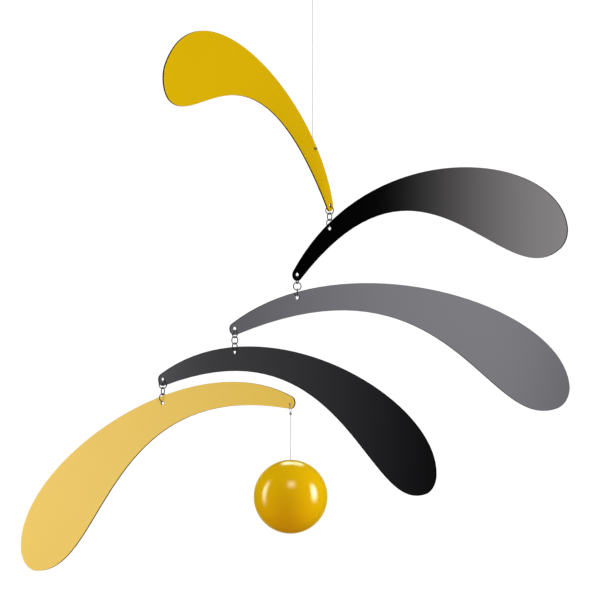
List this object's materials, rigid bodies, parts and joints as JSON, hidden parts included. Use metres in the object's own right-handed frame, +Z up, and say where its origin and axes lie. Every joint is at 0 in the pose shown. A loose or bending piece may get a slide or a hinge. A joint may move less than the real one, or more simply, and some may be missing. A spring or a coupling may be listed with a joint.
{
  "type": "hanging mobile sculpture",
  "caption": "Hanging mobile of arched leaf-shaped sheet blades linked in a chain by jump rings, with a ball on a thread as the last weight.",
  "frame": {"origin": "inside top of the loop at the upper end of the hanging line, where a hook or pin carries the mobile", "axes": "+Z up along the hanging line, +X to the viewer's right and +Y away from the viewer, with the blades turned as in the picture"},
  "size_m": [0.5601, 0.5231, 0.591],
  "materials": {
    "yellow_lacquer": "satin deep yellow lacquer on cut sheet with dark edges",
    "black_lacquer": "satin black lacquer on cut sheet with dark edges",
    "ball": "glossy yellow lacquer on a light ball",
    "ring_steel": "bright steel wire",
    "thread": "clear, slightly milky thread"
  },
  "bodies": {
    "loop": {"hanging_loop": "thread"},
    "blade_1": {"hanging_line": "thread", "line_knot": "thread", "blade_1": "yellow_lacquer", "ring_1_upper": "ring_steel", "ring_1_middle": "ring_steel"},
    "blade_2": {"ring_1_lower": "ring_steel", "blade_2": "black_lacquer", "ring_2_upper": "ring_steel", "ring_2_middle": "ring_steel"},
    "blade_3": {"ring_2_lower": "ring_steel", "blade_3": "black_lacquer", "ring_3_upper": "ring_steel", "ring_3_middle": "ring_steel"},
    "blade_4": {"ring_3_lower": "ring_steel", "blade_4": "black_lacquer", "ring_4_upper": "ring_steel", "ring_4_middle": "ring_steel"},
    "blade_5": {"ring_4_lower": "ring_steel", "blade_5": "yellow_lacquer", "thread_tie": "thread", "ball_thread": "thread"},
    "ball": {"ball": "ball"}
  },
  "joints": [
    {"name": "line_swivel", "type": "hinge", "parent": "loop", "child": "blade_1", "pos_m": [0, 0, -0.0123], "axis": [0, 0, 1], "continuous": true},
    {"name": "ring_swivel_1", "type": "hinge", "parent": "blade_1", "child": "blade_2", "pos_m": [0.01711, 0.02931, -0.23702], "axis": [0, 0, 1], "range_deg": [-45, 45]},
    {"name": "ring_swivel_2", "type": "hinge", "parent": "blade_2", "child": "blade_3", "pos_m": [-0.01544, 0.05761, -0.3067], "axis": [0, 0, 1], "range_deg": [-45, 45]},
    {"name": "ring_swivel_3", "type": "hinge", "parent": "blade_3", "child": "blade_4", "pos_m": [-0.07801, 0.01541, -0.36105], "axis": [0, 0, 1], "range_deg": [-45, 45]},
    {"name": "ring_swivel_4", "type": "hinge", "parent": "blade_4", "child": "blade_5", "pos_m": [-0.14878, -0.06049, -0.41108], "axis": [0, 0, 1], "range_deg": [-45, 45]},
    {"name": "ball_swivel", "type": "hinge", "parent": "blade_5", "child": "ball", "pos_m": [-0.02188, -0.1874, -0.50951], "axis": [0, 0, 1], "continuous": true}
  ]
}
